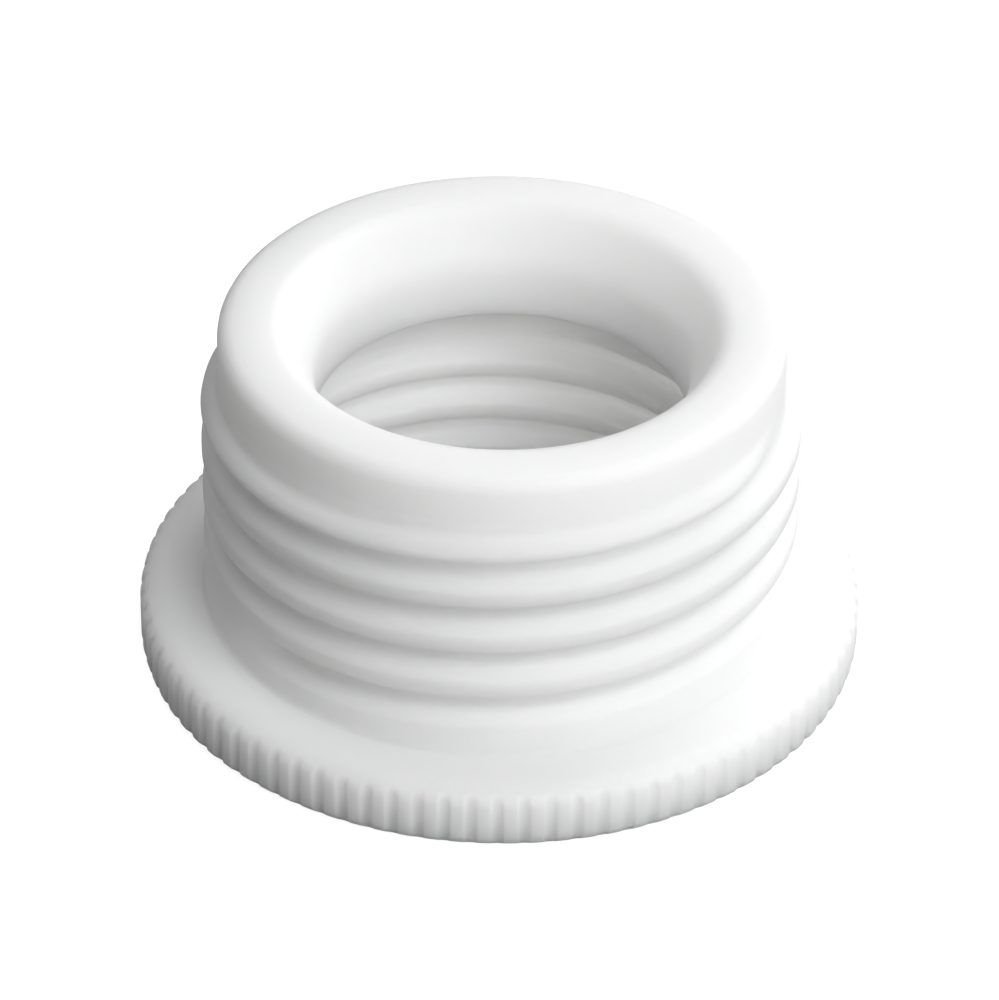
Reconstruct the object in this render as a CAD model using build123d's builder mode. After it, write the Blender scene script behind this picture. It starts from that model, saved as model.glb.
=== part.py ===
"""Bottle thread adapter, turned from one PTFE blank.

A GL 45 round thread on the outside takes a cap or a ring. A GL 38 round thread on the inside,
open at the bottom, screws onto a bottle neck. The two meet at a smooth throat with a coned
lip. Millimetres, +Z up, origin at the centre of the base that the adapter stands on.
"""

import os

from build123d import *

# Flange, with a straight knurl round its rim
flange_radius = 27.5
flange_height = 5.0
rim_chamfer_radial = 1.1
rim_chamfer_axial = 0.65
knurl_count = 88
knurl_depth = 0.35
knurl_cutter_radius = 0.5

# Male round thread on the neck
male_crest_radius = 22.5
male_top_height = 23.0  # the crest cylinder ends here, where the nose was turned down
male_run_out_height = 8.2  # middle of the groove where it ends above the flange
male_run_out_angle = 211.0  # degrees about Z at that end
neck_fillet = 0.4

# Nose above the male thread
total_height = 28.2
nose_edge_radius = 1.15

# Throat, and the flat seat above the socket that the bottle's mouth meets
throat_radius = 14.0
throat_top_height = 24.1
throat_top_fillet = 1.5
lip_radius = 16.4  # where the cone above the throat meets the flat top
lip_fillet = 0.8
seat_height = 19.5

# Female round thread in the socket
female_crest_radius = 18.0
female_top_height = 15.1  # the crest bore ends here, under a plain relief
female_top_angle = 20.0  # degrees about Z where the middle of the ridge reaches that height
socket_chamfer = 1.6

# Both threads share one form: a groove with straight flanks and a rounded root
thread_pitch = 4.0
thread_depth = 1.25
groove_mouth = 2.6
groove_root = 1.1
root_fillet = 0.45
root_relief = 0.1  # the nose and the socket's relief go this much deeper than the roots
overcut = 0.8  # how far a cut stands clear of the surface that it enters

male_root_radius = male_crest_radius - thread_depth
nose_radius = male_root_radius - root_relief
female_root_radius = female_crest_radius + thread_depth
relief_radius = female_root_radius + root_relief
web_radius = (relief_radius + nose_radius) / 2  # inside the wall, where the throat's web joins it
flank_slope = (groove_mouth - groove_root) / 2 / thread_depth


def thread_cutter(root_radius, outward, rise):
    """The solid swept by one round groove, climbing right-handed from the X axis at height 0.

    The groove opens away from the axis where outward is 1, and towards it where it is -1.
    """
    open_radius = root_radius + outward * (thread_depth + overcut)
    open_half = groove_mouth / 2 + flank_slope * overcut
    root_half = groove_root / 2
    with BuildPart() as cutter:
        with BuildSketch(Plane.ZX):
            with BuildLine():
                FilletPolyline(
                    (-open_half, open_radius),
                    (-root_half, root_radius),
                    (root_half, root_radius),
                    (open_half, open_radius),
                    radius=[0, root_fillet, root_fillet, 0],
                    close=True,
                )
            make_face()
        with BuildLine() as path:
            Helix(pitch=thread_pitch, height=rise, radius=root_radius)
        sweep(path=path.wire(), is_frenet=True)
    return cutter.part


# The male groove climbs from its run-out until it is clear of the crest cylinder's top
male_rise = male_top_height + thread_pitch - male_run_out_height
male_cutter = thread_cutter(male_root_radius, 1, male_rise)

# The female groove starts in the stock below the base. Its middle is half a pitch under the ridge.
female_pitches_down = 5
female_start_height = female_top_height - (female_pitches_down + 0.5) * thread_pitch
female_rise = female_top_height + groove_mouth - female_start_height
female_cutter = thread_cutter(female_root_radius, -1, female_rise)

stock_below = -female_start_height + thread_pitch
stock_above = thread_pitch

with BuildPart() as thread_adapter:
    # Stock tube with the two crest surfaces, longer than the adapter at both ends
    with BuildSketch(Plane.XY.offset(-stock_below)):
        Circle(male_crest_radius)
        Circle(female_crest_radius, mode=Mode.SUBTRACT)
    extrude(amount=stock_below + total_height + stock_above)

    # The two threads
    with Locations(Location((0, 0, male_run_out_height), (0, 0, male_run_out_angle))):
        add(male_cutter, mode=Mode.SUBTRACT)
    with Locations(Location((0, 0, female_start_height), (0, 0, female_top_angle))):
        add(female_cutter, mode=Mode.SUBTRACT)

    # Turned away: the stock below the base, the nose's step and the relief over the socket
    with BuildSketch(Plane.XY.offset(-stock_below)):
        Circle(male_crest_radius + overcut)
    extrude(amount=stock_below, mode=Mode.SUBTRACT)
    with BuildSketch(Plane.XY.offset(male_top_height)):
        Circle(male_crest_radius + overcut)
        Circle(nose_radius, mode=Mode.SUBTRACT)
    extrude(amount=total_height + stock_above - male_top_height, mode=Mode.SUBTRACT)
    with BuildSketch(Plane.XY.offset(total_height)):
        Circle(male_crest_radius + overcut)
    extrude(amount=stock_above, mode=Mode.SUBTRACT)
    with BuildSketch(Plane.XY.offset(female_top_height)):
        Circle(relief_radius)
    extrude(amount=seat_height - female_top_height, mode=Mode.SUBTRACT)

    # The web round the throat, with its coned lip
    with BuildSketch(Plane.XZ):
        with BuildLine():
            Polyline(
                (web_radius, seat_height),
                (throat_radius, seat_height),
                (throat_radius, throat_top_height),
                (lip_radius, total_height),
                (web_radius, total_height),
                close=True,
            )
        make_face()
    revolve(axis=Axis.Z)

    # The flange
    with BuildSketch(Plane.XZ):
        with BuildLine():
            Polyline(
                (male_crest_radius, 0),
                (flange_radius - rim_chamfer_radial, 0),
                (flange_radius, rim_chamfer_axial),
                (flange_radius, flange_height - rim_chamfer_axial),
                (flange_radius - rim_chamfer_radial, flange_height),
                (male_crest_radius, flange_height),
                close=True,
            )
        make_face()
    revolve(axis=Axis.Z)

    # The socket's entry
    with BuildSketch(Plane.XZ):
        with BuildLine():
            Polyline(
                (0, -overcut),
                (female_crest_radius + socket_chamfer + overcut, -overcut),
                (female_crest_radius - overcut, socket_chamfer + overcut),
                (0, socket_chamfer + overcut),
                close=True,
            )
        make_face()
    revolve(axis=Axis.Z, mode=Mode.SUBTRACT)

    # Rounded edges: both ends of the lip's cone, the nose's outer edge and the neck's foot
    throat_top = edges().filter_by_position(Axis.Z, throat_top_height, throat_top_height)
    fillet(throat_top.sort_by(SortBy.RADIUS)[0], radius=throat_top_fillet)
    top_circles = faces().sort_by(Axis.Z)[-1].edges().sort_by(SortBy.RADIUS)
    fillet(top_circles[0], radius=lip_fillet)
    fillet(top_circles[-1], radius=nose_edge_radius)
    flange_top = faces().filter_by(GeomType.PLANE).filter_by_position(
        Axis.Z, flange_height, flange_height
    )
    fillet(flange_top.edges().sort_by(SortBy.RADIUS)[0], radius=neck_fillet)

    # The knurl: shallow flutes that run out in the rim's two chamfers
    flute_circle = flange_radius + knurl_cutter_radius - knurl_depth
    with BuildSketch():
        with PolarLocations(flute_circle, knurl_count):
            Circle(knurl_cutter_radius)
    extrude(amount=flange_height, mode=Mode.SUBTRACT)

os.makedirs("parts", exist_ok=True)
thread_adapter.part.label = "thread_adapter"
export_step(thread_adapter.part, "parts/thread_adapter.step")
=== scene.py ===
# %% [markdown]
# # A bottle thread adapter, turned from PTFE
# The real object is one ring of white PTFE. A coarse round thread outside takes a cap, a second
# one inside screws onto a bottle, and a knurled flange gives the fingers a grip. There are no
# other pieces, so the lesson is about one accurate mesh and one convincing material.
#
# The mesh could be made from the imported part, but its helical faces come out as long thin
# triangles. It is rebuilt here ring by ring from the same sizes, so that every edge has the small
# round that turned PTFE has, and light runs smoothly along the threads.

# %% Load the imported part
import math

import bmesh
import bpy
from mathutils import Matrix, Vector


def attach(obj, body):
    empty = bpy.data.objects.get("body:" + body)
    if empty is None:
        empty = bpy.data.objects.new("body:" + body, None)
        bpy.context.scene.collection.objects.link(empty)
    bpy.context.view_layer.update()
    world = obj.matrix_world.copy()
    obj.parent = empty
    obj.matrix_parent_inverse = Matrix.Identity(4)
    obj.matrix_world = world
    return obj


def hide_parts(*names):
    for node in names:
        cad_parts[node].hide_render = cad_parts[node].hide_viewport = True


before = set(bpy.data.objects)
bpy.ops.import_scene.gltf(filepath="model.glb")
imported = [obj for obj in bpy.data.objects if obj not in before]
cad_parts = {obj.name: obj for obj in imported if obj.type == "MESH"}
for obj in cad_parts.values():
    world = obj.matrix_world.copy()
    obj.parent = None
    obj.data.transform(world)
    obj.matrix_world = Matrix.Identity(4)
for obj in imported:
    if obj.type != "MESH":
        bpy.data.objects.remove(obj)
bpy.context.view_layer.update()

# %% [markdown]
# ## Sizes
# All sizes are in millimetres and become metres only when the mesh is written. Angles are in
# degrees about the thread's axis, counted from the X axis. The sizes repeat those of the part,
# except for some rounds. The two at the lip are 1.7 and 4.0 here, and 0.8 and 1.5 on the part,
# because the real lip looks softer. The rim, further on, is rounded where the part has chamfers.

# %% The adapter's sizes
MM = 0.001
FLANGE_RADIUS, FLANGE_HEIGHT = 27.5, 5.0
RIM_CHAMFER_RADIAL, RIM_CHAMFER_AXIAL = 1.1, 0.65
NECK_FILLET = 0.4
MALE_CREST_RADIUS, MALE_ROOT_RADIUS = 22.5, 21.25
NOSE_RADIUS, NOSE_EDGE_RADIUS, TOTAL_HEIGHT = 21.15, 1.15, 28.2
LIP_RADIUS, LIP_FILLET = 16.4, 1.7
THROAT_RADIUS, THROAT_TOP, THROAT_TOP_FILLET = 14.0, 24.1, 4.0
SEAT_HEIGHT = 19.5
FEMALE_CREST_RADIUS, RELIEF_RADIUS = 18.0, 19.35
SOCKET_CHAMFER = 1.6
THREAD_PITCH, THREAD_DEPTH = 4.0, 1.25
print("adapter:", 2 * FLANGE_RADIUS, "mm across,", TOTAL_HEIGHT, "mm tall")

# %% [markdown]
# ## How a thread groove is drawn
# A threading tool with straight flanks and a rounded tip leaves a trapezoid groove, and its sharp
# corners are then broken. Averaging a trapezoid over a short length of the pitch gives the same
# shape: flat lands, straight flanks, and a soft round wherever they meet.
#
# A thread fades where the tool is drawn out of the cut, so a smooth step from 0 to 1 is needed too.

# %% The groove's shape across one pitch
GROOVE_MOUTH, GROOVE_ROOT = 2.6, 1.1
CORNER_SOFTNESS = 0.3


def smooth_step(x):
    x = min(max(x, 0.0), 1.0)
    return x * x * (3 - 2 * x)


def sharp_groove(across):
    flank = (GROOVE_MOUTH - GROOVE_ROOT) / 2
    return THREAD_DEPTH * min(max((GROOVE_MOUTH / 2 - abs(across)) / flank, 0.0), 1.0)


def groove_depth(across):
    """Depth of the groove at a distance along the axis from its middle, with its corners soft."""
    samples = 9
    offsets = [CORNER_SOFTNESS * (2 * i / (samples - 1) - 1) for i in range(samples)]
    return sum(sharp_groove(across + o) for o in offsets) / samples


# Mesh rows lie closer together where the groove's corners are
HALF_ROWS = [0.25, 0.42, 0.59, 0.76, 1.02, 1.20, 1.38, 1.56]
PITCH_ROWS = [-THREAD_PITCH / 2] + [-a for a in reversed(HALF_ROWS)] + [0.0] + HALF_ROWS
print("rows in one pitch:", len(PITCH_ROWS), "- deepest", round(groove_depth(0), 3), "mm")

# %% [markdown]
# ## The male thread
# The groove starts above the flange, where the tool was drawn out at the left of the front, and
# winds up to the right to the nose. The last ridge is thinner than the others, because the nose's
# own cut took a little off its top, and it tapers away at the right of the front.
#
# A turn is counted from the groove's place round the axis without wrapping at 360 degrees, which
# makes "before this angle" and "after it" plain comparisons.

# %% The male thread's radius
MALE_START_ANGLE, MALE_START_HEIGHT = 211.0, 8.2
MALE_START_FADE = 16.0
TOP_RIDGE_END, TOP_RIDGE_FADE = 1424.0, 30.0
TOP_RIDGE_TRIM, TRIM_START, TRIM_FADE = 0.65, 1530.0, 40.0


def male_groove_height(turned):
    return MALE_START_HEIGHT + THREAD_PITCH * (turned - MALE_START_ANGLE) / 360


def male_radius(turned, across, height):
    trim = TOP_RIDGE_TRIM * smooth_step((turned - TRIM_START) / TRIM_FADE)
    if across < 0:
        across_cut, ridge = min(across + trim, 0.0), turned - 360
    else:
        across_cut, ridge = across, turned
    cut = groove_depth(across_cut) * smooth_step((turned - MALE_START_ANGLE) / MALE_START_FADE)
    standing = 1 - smooth_step((ridge - TOP_RIDGE_END + TOP_RIDGE_FADE) / TOP_RIDGE_FADE)
    return NOSE_RADIUS + (MALE_CREST_RADIUS - cut - NOSE_RADIUS) * standing


print("male groove at the front:", [round(male_groove_height(270 + 360 * n), 2) for n in range(4)])

# %% [markdown]
# ## The female thread
# Inside, the ridges point inwards. The top one ends under a plain relief, so that the bottle's
# mouth can reach the flat seat. At the open end a chamfer guides the bottle in and cuts across
# the lowest ridge.

# %% The female thread's radius
FEMALE_RIDGE_ANGLE, FEMALE_RIDGE_HEIGHT = 74.0, 15.7
FEMALE_END_FADE, FEMALE_FADE_LEAD = 34.0, 0.6
ENTRY_SOFTNESS = 0.12


def female_groove_height(turned):
    """The middle of the groove that lies half a pitch under the top ridge."""
    climb = THREAD_PITCH * (turned - FEMALE_RIDGE_ANGLE) / 360
    return FEMALE_RIDGE_HEIGHT - THREAD_PITCH / 2 + climb


def female_radius(turned, across, height):
    ridge = turned if across >= 0 else turned - 360
    faded = (ridge - FEMALE_RIDGE_ANGLE) / FEMALE_END_FADE + FEMALE_FADE_LEAD
    standing = 1 - smooth_step(faded)
    thread = FEMALE_CREST_RADIUS + groove_depth(across)
    wall = RELIEF_RADIUS + (thread - RELIEF_RADIUS) * standing
    entry = FEMALE_CREST_RADIUS + SOCKET_CHAMFER - height
    # A soft maximum, so that the chamfer's edge has a small round
    gap = max(0.0, ENTRY_SOFTNESS - abs(wall - entry)) / ENTRY_SOFTNESS
    return max(wall, entry) + gap * gap * ENTRY_SOFTNESS / 4


print("female ridge at the back:", round(female_groove_height(90) + THREAD_PITCH / 2, 2))

# %% [markdown]
# ## Rings, strips and turned profiles
# Everything that a lathe makes is a profile swept round an axis. A profile here is a list of
# corners, each with the radius of its round. Each point of the rounded profile becomes a ring of
# vertices, and neighbouring rings are joined by strips of faces.
#
# The rings have 352 columns, four for each of the knurl's 88 flutes. The rim itself has sixteen for
# each flute.

# %% Helpers for rings
FLUTES, COLUMNS_PER_FLUTE = 88, 4
COLUMNS = FLUTES * COLUMNS_PER_FLUTE
mesh = bmesh.new()


def vertex(angle, radius, height):
    a = math.radians(angle)
    return mesh.verts.new((radius * math.cos(a) * MM, radius * math.sin(a) * MM, height * MM))


def ring(radius, height):
    return [vertex(360 * j / COLUMNS, radius, height) for j in range(COLUMNS)]


def strip(lower, upper):
    for j in range(len(lower)):
        k = (j + 1) % len(lower)
        mesh.faces.new((lower[j], lower[k], upper[k], upper[j]))


def rounded(corners, steps):
    """Points of a polyline of (radius, height, round), with each corner replaced by an arc."""
    points = [corners[0][:2]]
    for before, corner, after in zip(corners, corners[1:], corners[2:]):
        here = Vector(corner[:2])
        back = (Vector(before[:2]) - here).normalized()
        on = (Vector(after[:2]) - here).normalized()
        half = back.angle(on) / 2
        middle = here + (back + on).normalized() * (corner[2] / math.sin(half))
        start = here + back * (corner[2] / math.tan(half)) - middle
        end = here + on * (corner[2] / math.tan(half)) - middle
        for i in range(steps + 1):
            arm = start.slerp(end, i / steps)
            points.append(tuple(middle + arm.normalized() * corner[2]))
    return points + [corners[-1][:2]]


def turned_wall(points, first, last=None):
    """Strips through rings at the points. The first ring exists already, and the last one may."""
    rings = [first] + [ring(*p) for p in points[1:]]
    if last:
        rings[-1:] = [last]
    for lower, upper in zip(rings, rings[1:]):
        strip(lower, upper)
    return rings


# %% [markdown]
# ## A wall with a thread
# If the rows were level circles, every ridge would cross them at a slant and get a ragged edge.
# So the rows climb with the thread: each row keeps its place across the groove all the way round,
# and after one turn it joins the row one pitch higher. Where a climbing row reaches the level
# circle at the wall's top or bottom, it ends there.

# %% The helper that makes a threaded wall
JOIN_GAP = 0.03


def threaded_wall(low, high, groove_height, radius_at):
    """Climbing rows between two level rings, which are returned as (bottom ring, top ring)."""
    first_turn = math.floor((low - groove_height(0)) / THREAD_PITCH) - 2
    last_turn = math.ceil((high - groove_height(0)) / THREAD_PITCH) + 1
    turns = range(first_turn, last_turn + 1)
    rows = [(turn, across) for turn in turns for across in PITCH_ROWS]
    per_turn = len(PITCH_ROWS)
    columns, bottoms, tops = [], [], []
    for j in range(COLUMNS):
        angle = 360 * j / COLUMNS
        points = []
        for turn, across in rows:
            turned = angle + 360 * turn
            points.append((turned, across, groove_height(turned) + across))
        inside = [p for p in points if low + JOIN_GAP < p[2] < high - JOIN_GAP]
        below = [p for p in points if p[2] <= low + JOIN_GAP][-1]
        above = [p for p in points if p[2] >= high - JOIN_GAP][0]
        bottom = vertex(angle, radius_at(below[0], below[1], low), low)
        top = vertex(angle, radius_at(above[0], above[1], high), high)
        made = iter([vertex(angle, radius_at(*p), p[2]) for p in inside])
        column = []
        for p in points:
            if p[2] <= low + JOIN_GAP:
                column.append(bottom)
            elif p[2] >= high - JOIN_GAP:
                column.append(top)
            else:
                column.append(next(made))
        columns.append(column)
        bottoms.append(bottom)
        tops.append(top)
    wrapped = columns[0][per_turn:] + [tops[0]] * per_turn
    for left, right in zip(columns, columns[1:] + [wrapped]):
        for k in range(len(rows) - 1):
            corners = list(dict.fromkeys((left[k], right[k], right[k + 1], left[k + 1])))
            if len(corners) > 2:
                mesh.faces.new(corners)
    return bottoms, tops


# %% [markdown]
# ## Outside: neck, male thread and nose
# The wall starts at the top of the small fillet at the neck's foot. Above the thread it carries on
# as the nose, over its rounded edge, across the flat sealing face, and down the lip's cone into
# the throat, as one continuous surface.

# %% Build the outside and the lip
NOSE_WALL_START = 24.75
NECK_START = FLANGE_HEIGHT + NECK_FILLET
neck_ring, nose_ring = threaded_wall(
    NECK_START, NOSE_WALL_START, male_groove_height, male_radius
)

RELIEF_WALL_END = 17.9
EDGE_BREAK = 0.2
nose_profile = rounded(
    [
        (NOSE_RADIUS, NOSE_WALL_START),
        (NOSE_RADIUS, TOTAL_HEIGHT, NOSE_EDGE_RADIUS),
        (LIP_RADIUS, TOTAL_HEIGHT, LIP_FILLET),
        (THROAT_RADIUS, THROAT_TOP, THROAT_TOP_FILLET),
        (THROAT_RADIUS, SEAT_HEIGHT, EDGE_BREAK),
        (RELIEF_RADIUS, SEAT_HEIGHT, EDGE_BREAK),
        (RELIEF_RADIUS, RELIEF_WALL_END),
    ],
    steps=5,
)
print("points from the nose to the relief:", len(nose_profile))

# %% [markdown]
# ## Inside: seat, relief and female thread
# The profile that began at the nose ends in the relief, and meets the female thread's top ring
# there. The thread's bottom ring is the edge of the entry chamfer, in the plane of the base.

# %% Build the inside
socket_ring, relief_ring = threaded_wall(
    0.0, RELIEF_WALL_END, female_groove_height, female_radius
)
turned_wall(nose_profile, first=nose_ring, last=relief_ring)
print("vertices so far:", len(mesh.verts))

# %% [markdown]
# ## The knurled rim
# A straight knurl is 88 shallow flutes with rounded floors. A bump map would leave the rim's
# outline smooth, and here the flutes are deep enough to be counted, so they are real geometry.
# The sixteen columns of a flute are listed one by one: close together on its steep sides, and far
# apart on the land between two flutes.
#
# Each column has its own profile: over the upper round to the depth that the flute has there, down
# the rim, and in under the lower round. So the flutes run out in the rounds by themselves.

# %% Build the rim
FLUTE_RADIUS, FLUTE_DEPTH = 0.5, 0.35
INNER_ROUND, OUTER_ROUND = 2.1, 0.95
RIM_INNER = FLANGE_RADIUS - RIM_CHAMFER_RADIAL
LAND_RADIUS = RIM_INNER - 0.65
flute_pitch = 2 * math.pi * FLANGE_RADIUS / FLUTES
# Distances from a flute's middle: on its floor, then on its rounded edge with the depth there,
# then on the land
floor_steps = [0.12, 0.24, 0.34, 0.42]
edge_depths = {0.47: 0.05, 0.53: 0.014}
half_flute = floor_steps + list(edge_depths) + [0.62]
other_half = [flute_pitch - s for s in reversed(half_flute)]
across_flute = [0.0] + half_flute + [flute_pitch / 2] + other_half


def flute_floor(s):
    """Radius of the rim at a distance along it from the middle of the nearest flute."""
    s = min(s, flute_pitch - s)
    if s <= floor_steps[-1]:
        return FLANGE_RADIUS + FLUTE_RADIUS - FLUTE_DEPTH - math.sqrt(FLUTE_RADIUS**2 - s * s)
    return FLANGE_RADIUS - edge_depths.get(round(s, 3), 0.0)


def rim_profile(radius):
    share = (radius - RIM_INNER) / RIM_CHAMFER_RADIAL
    drop = RIM_CHAMFER_AXIAL * share
    return rounded(
        [
            (LAND_RADIUS, FLANGE_HEIGHT),
            (RIM_INNER, FLANGE_HEIGHT, INNER_ROUND * share),
            (radius, FLANGE_HEIGHT - drop, OUTER_ROUND * share),
            (radius, drop, OUTER_ROUND * share),
            (RIM_INNER, 0.0, INNER_ROUND * share),
            (LAND_RADIUS, 0.0),
        ],
        steps=2,
    )


rim_rings = None
for flute in range(FLUTES):
    for s in across_flute:
        angle = 360 * flute / FLUTES + math.degrees(s / FLANGE_RADIUS)
        column = [vertex(angle, *p) for p in rim_profile(flute_floor(s))]
        rim_rings = rim_rings or [[] for _ in column]
        for row, v in zip(rim_rings, column):
            row.append(v)
for upper, lower in zip(rim_rings, rim_rings[1:]):
    strip(lower, upper)
print("columns round the rim:", len(rim_rings[0]))

# %% [markdown]
# ## Flange top and base
# Both are flat rings. The rim has four times as many columns as the rest, so one face of the
# outermost strip has a single edge inside and four outside. That is safe only because it is flat.

# %% Close the flange
RIM_STEPS = len(rim_rings[0]) // COLUMNS


def flat_join(inner, outer):
    for j in range(COLUMNS):
        k = (j + 1) % COLUMNS
        edge = [outer[(j * RIM_STEPS + i) % len(outer)] for i in range(RIM_STEPS + 1)]
        mesh.faces.new([inner[k], inner[j]] + edge)


MID_FLANGE_RADIUS, MID_BASE_RADIUS = 25.4, 20.2
ABOVE_FILLET = 0.01
foot_profile = rounded(
    [
        (MALE_CREST_RADIUS, NECK_START + ABOVE_FILLET),
        (MALE_CREST_RADIUS, FLANGE_HEIGHT, NECK_FILLET),
        (MID_FLANGE_RADIUS, FLANGE_HEIGHT),
    ],
    steps=5,
)
foot_rings = turned_wall(foot_profile[1:], first=neck_ring)
flat_join(foot_rings[-1], rim_rings[0])
base_rings = turned_wall(
    [
        (FEMALE_CREST_RADIUS + SOCKET_CHAMFER, 0.0),
        (MID_BASE_RADIUS, 0.0),
        (MID_FLANGE_RADIUS, 0.0),
    ],
    first=socket_ring,
)
flat_join(base_rings[-1], rim_rings[-1])

# %% [markdown]
# ## One closed piece
# Every strip shares its rings with its neighbours, so the surface has no holes. Blender turns all
# normals outwards, and open edges are counted before the mesh is used. Weighted normals keep the
# flat faces flat while the small rounds stay soft.

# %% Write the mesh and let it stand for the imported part
bmesh.ops.recalc_face_normals(mesh, faces=mesh.faces)
open_edges = sum(1 for e in mesh.edges if len(e.link_faces) != 2)
triangles = sum(len(f.verts) - 2 for f in mesh.faces)
print("open edges:", open_edges, "- triangles:", triangles)
print("volume, cm3:", round(mesh.calc_volume() * 1e6, 2))

adapter_mesh = bpy.data.meshes.new("thread_adapter_ptfe")
mesh.to_mesh(adapter_mesh)
mesh.free()
adapter = bpy.data.objects.new("thread_adapter_ptfe", adapter_mesh)
bpy.context.scene.collection.objects.link(adapter)
adapter_mesh.polygons.foreach_set("use_smooth", [True] * len(adapter_mesh.polygons))
adapter.modifiers.new("weighted normals", "WEIGHTED_NORMAL")

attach(adapter, "root")
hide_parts("thread_adapter")

# %% [markdown]
# ## Two shared effects
# Fine grain: no real surface is perfectly even, and machined PTFE has a faint cloudiness at the
# scale of a millimetre. It is noise, with its size in metres, so it doesn't stretch.
#
# Turning marks: the tool leaves a groove for each turn of the lathe, about a tenth of a millimetre
# apart. On a flat face they are circles, and on a wall they are rings one above another. Radius
# plus height grows across both kinds of surface, so a wave along that sum draws both.

# %% Build the node groups


def node_group(name, inputs, outputs):
    group = bpy.data.node_groups.new(name, "ShaderNodeTree")
    for label, value in inputs.items():
        socket = group.interface.new_socket(
            label, in_out="INPUT", socket_type="NodeSocketFloat"
        )
        socket.default_value = value
    for label in outputs:
        group.interface.new_socket(label, in_out="OUTPUT", socket_type="NodeSocketFloat")
    return group, group.nodes.new("NodeGroupInput"), group.nodes.new("NodeGroupOutput")


def math_node(tree, operation, a, b=0.0, c=0.0):
    node = tree.nodes.new("ShaderNodeMath")
    node.operation = operation
    for socket, value in zip(node.inputs, (a, b, c)):
        if isinstance(value, (int, float)):
            socket.default_value = value
        else:
            tree.links.new(value, socket)
    return node.outputs[0]


grain, grain_in, grain_out = node_group(
    "Fine grain", {"Grain size": 0.001, "Middle": 0.5, "Spread": 0.1}, ["Value"]
)
where = grain.nodes.new("ShaderNodeTexCoord").outputs["Object"]
noise = grain.nodes.new("ShaderNodeTexNoise")
noise.inputs["Detail"].default_value = 4.0
grain.links.new(where, noise.inputs["Vector"])
per_metre = math_node(grain, "DIVIDE", 1.0, grain_in.outputs["Grain size"])
grain.links.new(per_metre, noise.inputs["Scale"])
centred = math_node(grain, "SUBTRACT", noise.outputs["Fac"], 0.5)
spread, middle = grain_in.outputs["Spread"], grain_in.outputs["Middle"]
grain.links.new(
    math_node(grain, "MULTIPLY_ADD", centred, spread, middle), grain_out.inputs["Value"]
)

marks, marks_in, marks_out = node_group(
    "Turning marks", {"Feed": 0.00012, "Waver": 0.2}, ["Height"]
)
place = marks.nodes.new("ShaderNodeTexCoord").outputs["Object"]
split = marks.nodes.new("ShaderNodeSeparateXYZ")
marks.links.new(place, split.inputs[0])
flat_place = marks.nodes.new("ShaderNodeCombineXYZ")
marks.links.new(split.outputs["X"], flat_place.inputs["X"])
marks.links.new(split.outputs["Y"], flat_place.inputs["Y"])
radius_node = marks.nodes.new("ShaderNodeVectorMath")
radius_node.operation = "LENGTH"
marks.links.new(flat_place.outputs[0], radius_node.inputs[0])
along = math_node(marks, "ADD", radius_node.outputs["Value"], split.outputs["Z"])
turns = math_node(marks, "DIVIDE", along, marks_in.outputs["Feed"])
drift = marks.nodes.new("ShaderNodeTexNoise")
drift.inputs["Scale"].default_value = 400.0
marks.links.new(place, drift.inputs["Vector"])
turns = math_node(marks, "MULTIPLY_ADD", drift.outputs["Fac"], marks_in.outputs["Waver"], turns)
wave = math_node(marks, "SINE", math_node(marks, "MULTIPLY", turns, 2 * math.pi))
marks.links.new(wave, marks_out.inputs["Height"])
print("node groups:", [g.name for g in bpy.data.node_groups])

# %% [markdown]
# ## PTFE
# PTFE is milky, not opaque: light enters, scatters over some millimetres and comes out softer, so
# shaded hollows glow a little and no shadow on it is hard. That is subsurface scattering. The
# surface is satin, with a low index of refraction, so its highlights are broad and weak.

# %% Build the PTFE material
ptfe = bpy.data.materials.new("ptfe")
ptfe.use_nodes = True
nodes, links = ptfe.node_tree.nodes, ptfe.node_tree.links
surface = nodes["Principled BSDF"]
surface.inputs["IOR"].default_value = 1.35
surface.inputs["Subsurface Weight"].default_value = 0.8
surface.inputs["Subsurface Radius"].default_value = (1.0, 0.97, 0.93)
surface.inputs["Subsurface Scale"].default_value = 0.008


def place_group(group, **values):
    node = nodes.new("ShaderNodeGroup")
    node.node_tree = group
    for label, value in values.items():
        node.inputs[label.replace("_", " ")].default_value = value
    return node.outputs[0]


cloud = place_group(grain, Grain_size=0.006, Middle=0.5, Spread=1.2)
tint = nodes.new("ShaderNodeMix")
tint.data_type = "RGBA"
tint.inputs["A"].default_value = (0.965, 0.966, 0.962, 1.0)
tint.inputs["B"].default_value = (0.98, 0.98, 0.977, 1.0)
links.new(cloud, tint.inputs["Factor"])
links.new(tint.outputs["Result"], surface.inputs["Base Color"])
satin = place_group(grain, Grain_size=0.0015, Middle=0.6, Spread=0.16)
links.new(satin, surface.inputs["Roughness"])

lines = nodes.new("ShaderNodeBump")
lines.inputs["Strength"].default_value = 0.35
lines.inputs["Distance"].default_value = 0.000004
links.new(place_group(marks, Feed=0.00013, Waver=0.35), lines.inputs["Height"])
speckle = nodes.new("ShaderNodeBump")
speckle.inputs["Strength"].default_value = 0.3
speckle.inputs["Distance"].default_value = 0.00002
pores = place_group(grain, Grain_size=0.0004, Middle=0.5, Spread=1.0)
links.new(pores, speckle.inputs["Height"])
links.new(lines.outputs["Normal"], speckle.inputs["Normal"])
links.new(speckle.outputs["Normal"], surface.inputs["Normal"])
adapter_mesh.materials.append(ptfe)
print("ptfe nodes:", len(nodes))

# %% [markdown]
# ## Floor
# The adapter stands on a plain pale sheet, which is only a stage and isn't part of the object. Two
# things are asked of it. Seen directly it should be white, so it glows for the camera alone. Its
# real colour is a middle grey, so that it throws only a little light up at the adapter.

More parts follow.
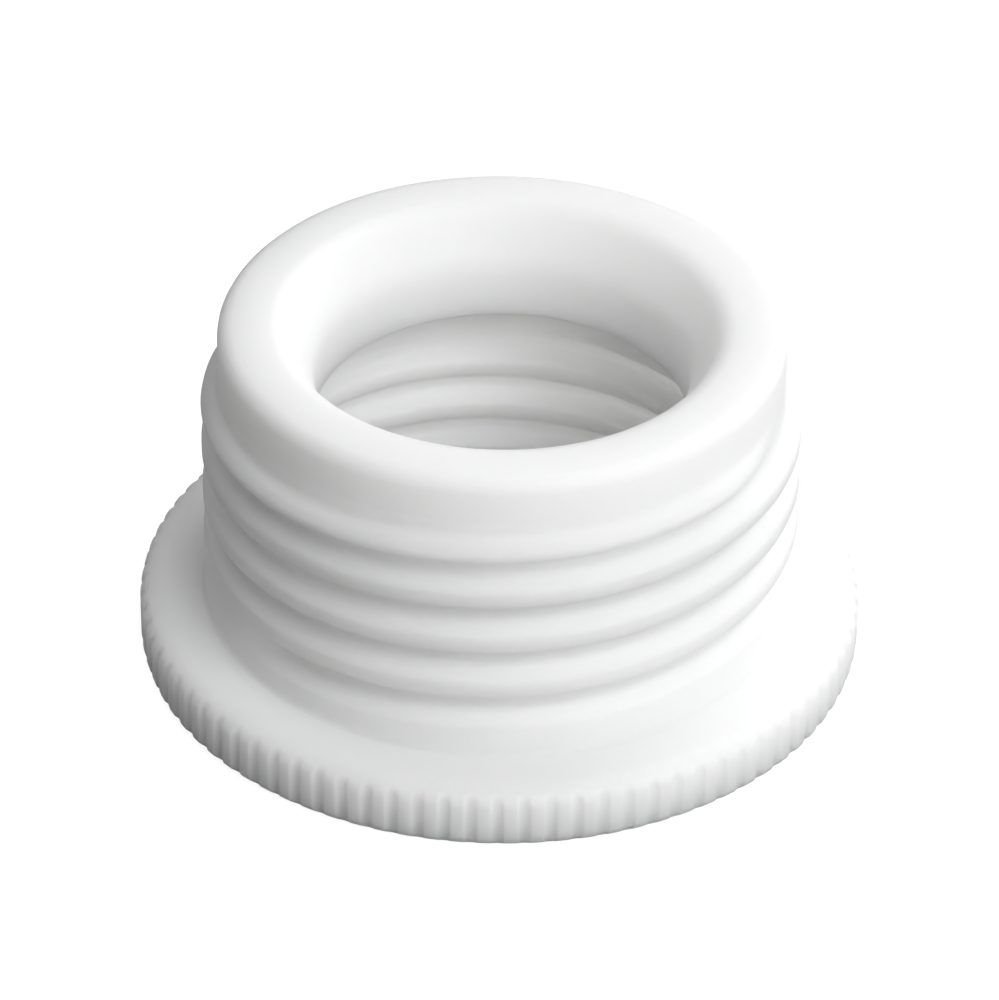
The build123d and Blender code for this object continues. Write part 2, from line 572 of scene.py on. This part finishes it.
# %% Build the floor
floor_mesh = bpy.data.meshes.new("floor")
FLOOR_HALF, FLOOR_HEIGHT = 1.5, -0.00002
floor_corners = [
    (x * FLOOR_HALF, y * FLOOR_HALF, FLOOR_HEIGHT)
    for x, y in ((-1, -1), (1, -1), (1, 1), (-1, 1))
]
floor_mesh.from_pydata(floor_corners, [], [(0, 1, 2, 3)])
floor = bpy.data.objects.new("floor", floor_mesh)
bpy.context.scene.collection.objects.link(floor)
paper = bpy.data.materials.new("white sheet")
paper.use_nodes = True
nodes, links = paper.node_tree.nodes, paper.node_tree.links
sheet = nodes["Principled BSDF"]
sheet.inputs["Roughness"].default_value = 0.9
sheet.inputs["Base Color"].default_value = (0.35, 0.35, 0.35, 1.0)
sheet.inputs["Specular IOR Level"].default_value = 0.0
seen = nodes.new("ShaderNodeLightPath")
sheet.inputs["Emission Color"].default_value = (1.0, 1.0, 1.0, 1.0)
links.new(
    math_node(paper.node_tree, "MULTIPLY", seen.outputs["Is Camera Ray"], 0.9),
    sheet.inputs["Emission Strength"],
)
floor_mesh.materials.append(paper)

# %% [markdown]
# ## Light
# Soft boxes are large area lights, and all five stand half a metre away. The main one is in front,
# a little to the right and halfway up. Two behind on the right, one halfway up and one low, and a
# weak low one on the right towards the front all brighten the right side. One more is behind on
# the left. The left front has none and falls into gentle shade. The room adds a little all round.

# %% Place the lights
BOX_DISTANCE, BOX_SIZE = 0.5, 0.35


def soft_box(name, azimuth, elevation, power):
    """An area light that faces the adapter. Azimuth 0 is on the right, and -90 at the front."""
    light = bpy.data.lights.new(name, "AREA")
    light.shape = "DISK"
    light.size = BOX_SIZE
    light.energy = power
    lamp = bpy.data.objects.new(name, light)
    a, e = math.radians(azimuth), math.radians(elevation)
    towards = Vector((math.cos(a) * math.cos(e), math.sin(a) * math.cos(e), math.sin(e)))
    lamp.location = towards * BOX_DISTANCE
    lamp.rotation_mode = "QUATERNION"
    lamp.rotation_quaternion = towards.to_track_quat("Z", "Y")
    bpy.context.scene.collection.objects.link(lamp)


soft_box("main soft box", -60, 45, 1.9)
soft_box("right soft box", 60, 45, 0.58)
soft_box("low soft box", 45, 15, 1.1)
soft_box("back soft box", 135, 45, 0.5)
soft_box("low front soft box", -30, 15, 0.37)

world = bpy.data.worlds.new("studio")
bpy.context.scene.world = world
world.use_nodes = True
background = world.node_tree.nodes["Background"]
background.inputs["Color"].default_value = (1.0, 1.0, 1.0, 1.0)
background.inputs["Strength"].default_value = 0.06
bpy.context.scene.view_settings.view_transform = "Standard"

# %% [markdown]
# ## Camera
# A long lens from 40 cm, looking down at 35 degrees, with the adapter's front towards it.

# %% Place the camera
CAMERA_DISTANCE = 0.4
CAMERA_ELEVATION = math.radians(35.17)
CAMERA_ROLL = 0.011
aim = Vector((-0.08, 0.0, 11.94)) * MM
towards_camera = Vector((0.0, -math.cos(CAMERA_ELEVATION), math.sin(CAMERA_ELEVATION)))
camera_data = bpy.data.cameras.new("camera")
camera_data.lens = 190.0
camera_data.sensor_width = 36.0
camera_data.clip_start = 0.01
camera = bpy.data.objects.new("camera", camera_data)
bpy.context.scene.collection.objects.link(camera)
facing = towards_camera.to_track_quat("Z", "Y").to_matrix().to_4x4()
stand = Matrix.Translation(aim + towards_camera * CAMERA_DISTANCE)
camera.matrix_world = stand @ facing @ Matrix.Rotation(CAMERA_ROLL, 4, "Z")
bpy.context.scene.camera = camera
